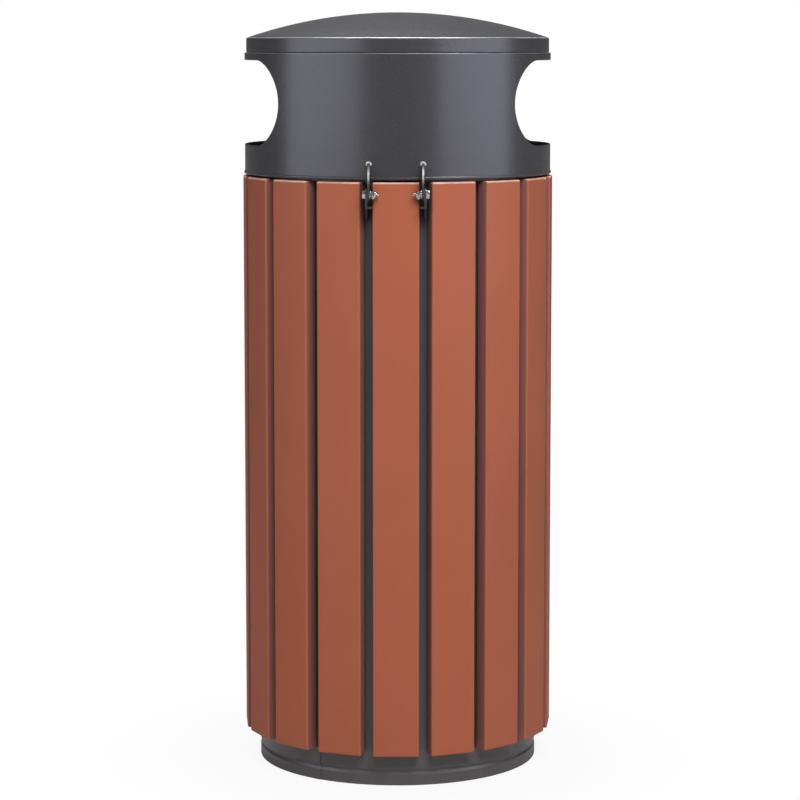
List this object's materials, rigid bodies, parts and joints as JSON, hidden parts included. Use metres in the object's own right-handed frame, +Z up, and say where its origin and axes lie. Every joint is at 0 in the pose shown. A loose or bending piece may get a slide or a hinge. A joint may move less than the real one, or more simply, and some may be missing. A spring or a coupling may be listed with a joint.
{
  "type": "litter bin",
  "caption": "Round litter bin with upright slats, a domed tilting head with two side openings, a key lock and a lift-up liner.",
  "frame": {"origin": "centre of the drum's foot, on the floor", "axes": "+Z up along the drum's axis, -Y towards the hinge, +Y towards the lock, +X and -X towards the deposit openings"},
  "size_m": [0.3994, 0.4162, 0.966],
  "materials": {
    "slat_paint": "terracotta paint with a fine texture, satin, over timber",
    "drum_paint": "dark grey powder coat, satin",
    "head_paint": "dark grey powder coat, satin",
    "zinc": "bright zinc plate",
    "lock_metal": "satin chrome",
    "galvanised": "hot-dip galvanised, dull spangle",
    "handle_wire": "galvanised wire"
  },
  "bodies": {
    "drum": {"drum_shell": "drum_paint", "drum_seam": "drum_paint", "rim_hoop": "drum_paint", "base_plate": "drum_paint", "lock_keeper": "drum_paint", "hinge_lug_left": "drum_paint", "hinge_lug_right": "drum_paint", "hinge_bolts": "zinc", "hinge_washers": "zinc", "hinge_nuts": "zinc", "slat_screws_upper": "zinc", "slat_screws_lower": "zinc", "slat_01": "slat_paint", "slat_02": "slat_paint", "slat_03": "slat_paint", "slat_04": "slat_paint", "slat_05": "slat_paint", "slat_06": "slat_paint", "slat_07": "slat_paint", "slat_08": "slat_paint", "slat_09": "slat_paint", "slat_10": "slat_paint", "slat_11": "slat_paint", "slat_12": "slat_paint", "slat_13": "slat_paint", "slat_14": "slat_paint", "slat_15": "slat_paint", "slat_16": "slat_paint", "slat_17": "slat_paint"},
    "head": {"head_wall": "head_paint", "head_ring": "head_paint", "roof": "head_paint", "hinge_leaf_left": "head_paint", "hinge_leaf_right": "head_paint", "lock_body": "lock_metal", "lock_nut": "lock_metal"},
    "lock": {"lock_plug": "lock_metal", "lock_cam": "zinc", "cam_screw": "zinc"},
    "liner": {"liner_shell": "galvanised", "liner_ears_left": "galvanised", "liner_ears_right": "galvanised"},
    "handle_left": {"liner_handle_left": "handle_wire"},
    "handle_right": {"liner_handle_right": "handle_wire"}
  },
  "joints": [
    {"name": "head_tilt", "type": "hinge", "parent": "drum", "child": "head", "pos_m": [0, -0.2051, 0.7434], "axis": [1, 0, 0], "range_deg": [0, 105]},
    {"name": "lock_turn", "type": "hinge", "parent": "head", "child": "lock", "pos_m": [0, 0.19, 0.7878], "axis": [0, 1, 0], "range_deg": [0, 90]},
    {"name": "liner_lift", "type": "slide", "parent": "drum", "child": "liner", "axis": [0, 0, 1], "range_m": [0, 0.15]},
    {"name": "handle_right_swing", "type": "hinge", "parent": "liner", "child": "handle_right", "pos_m": [0.145, 0, 0.7115], "axis": [0, 1, 0], "range_deg": [0, 175]},
    {"name": "handle_left_swing", "type": "hinge", "parent": "liner", "child": "handle_left", "pos_m": [-0.145, 0, 0.7115], "axis": [0, -1, 0], "range_deg": [0, 175]}
  ]
}
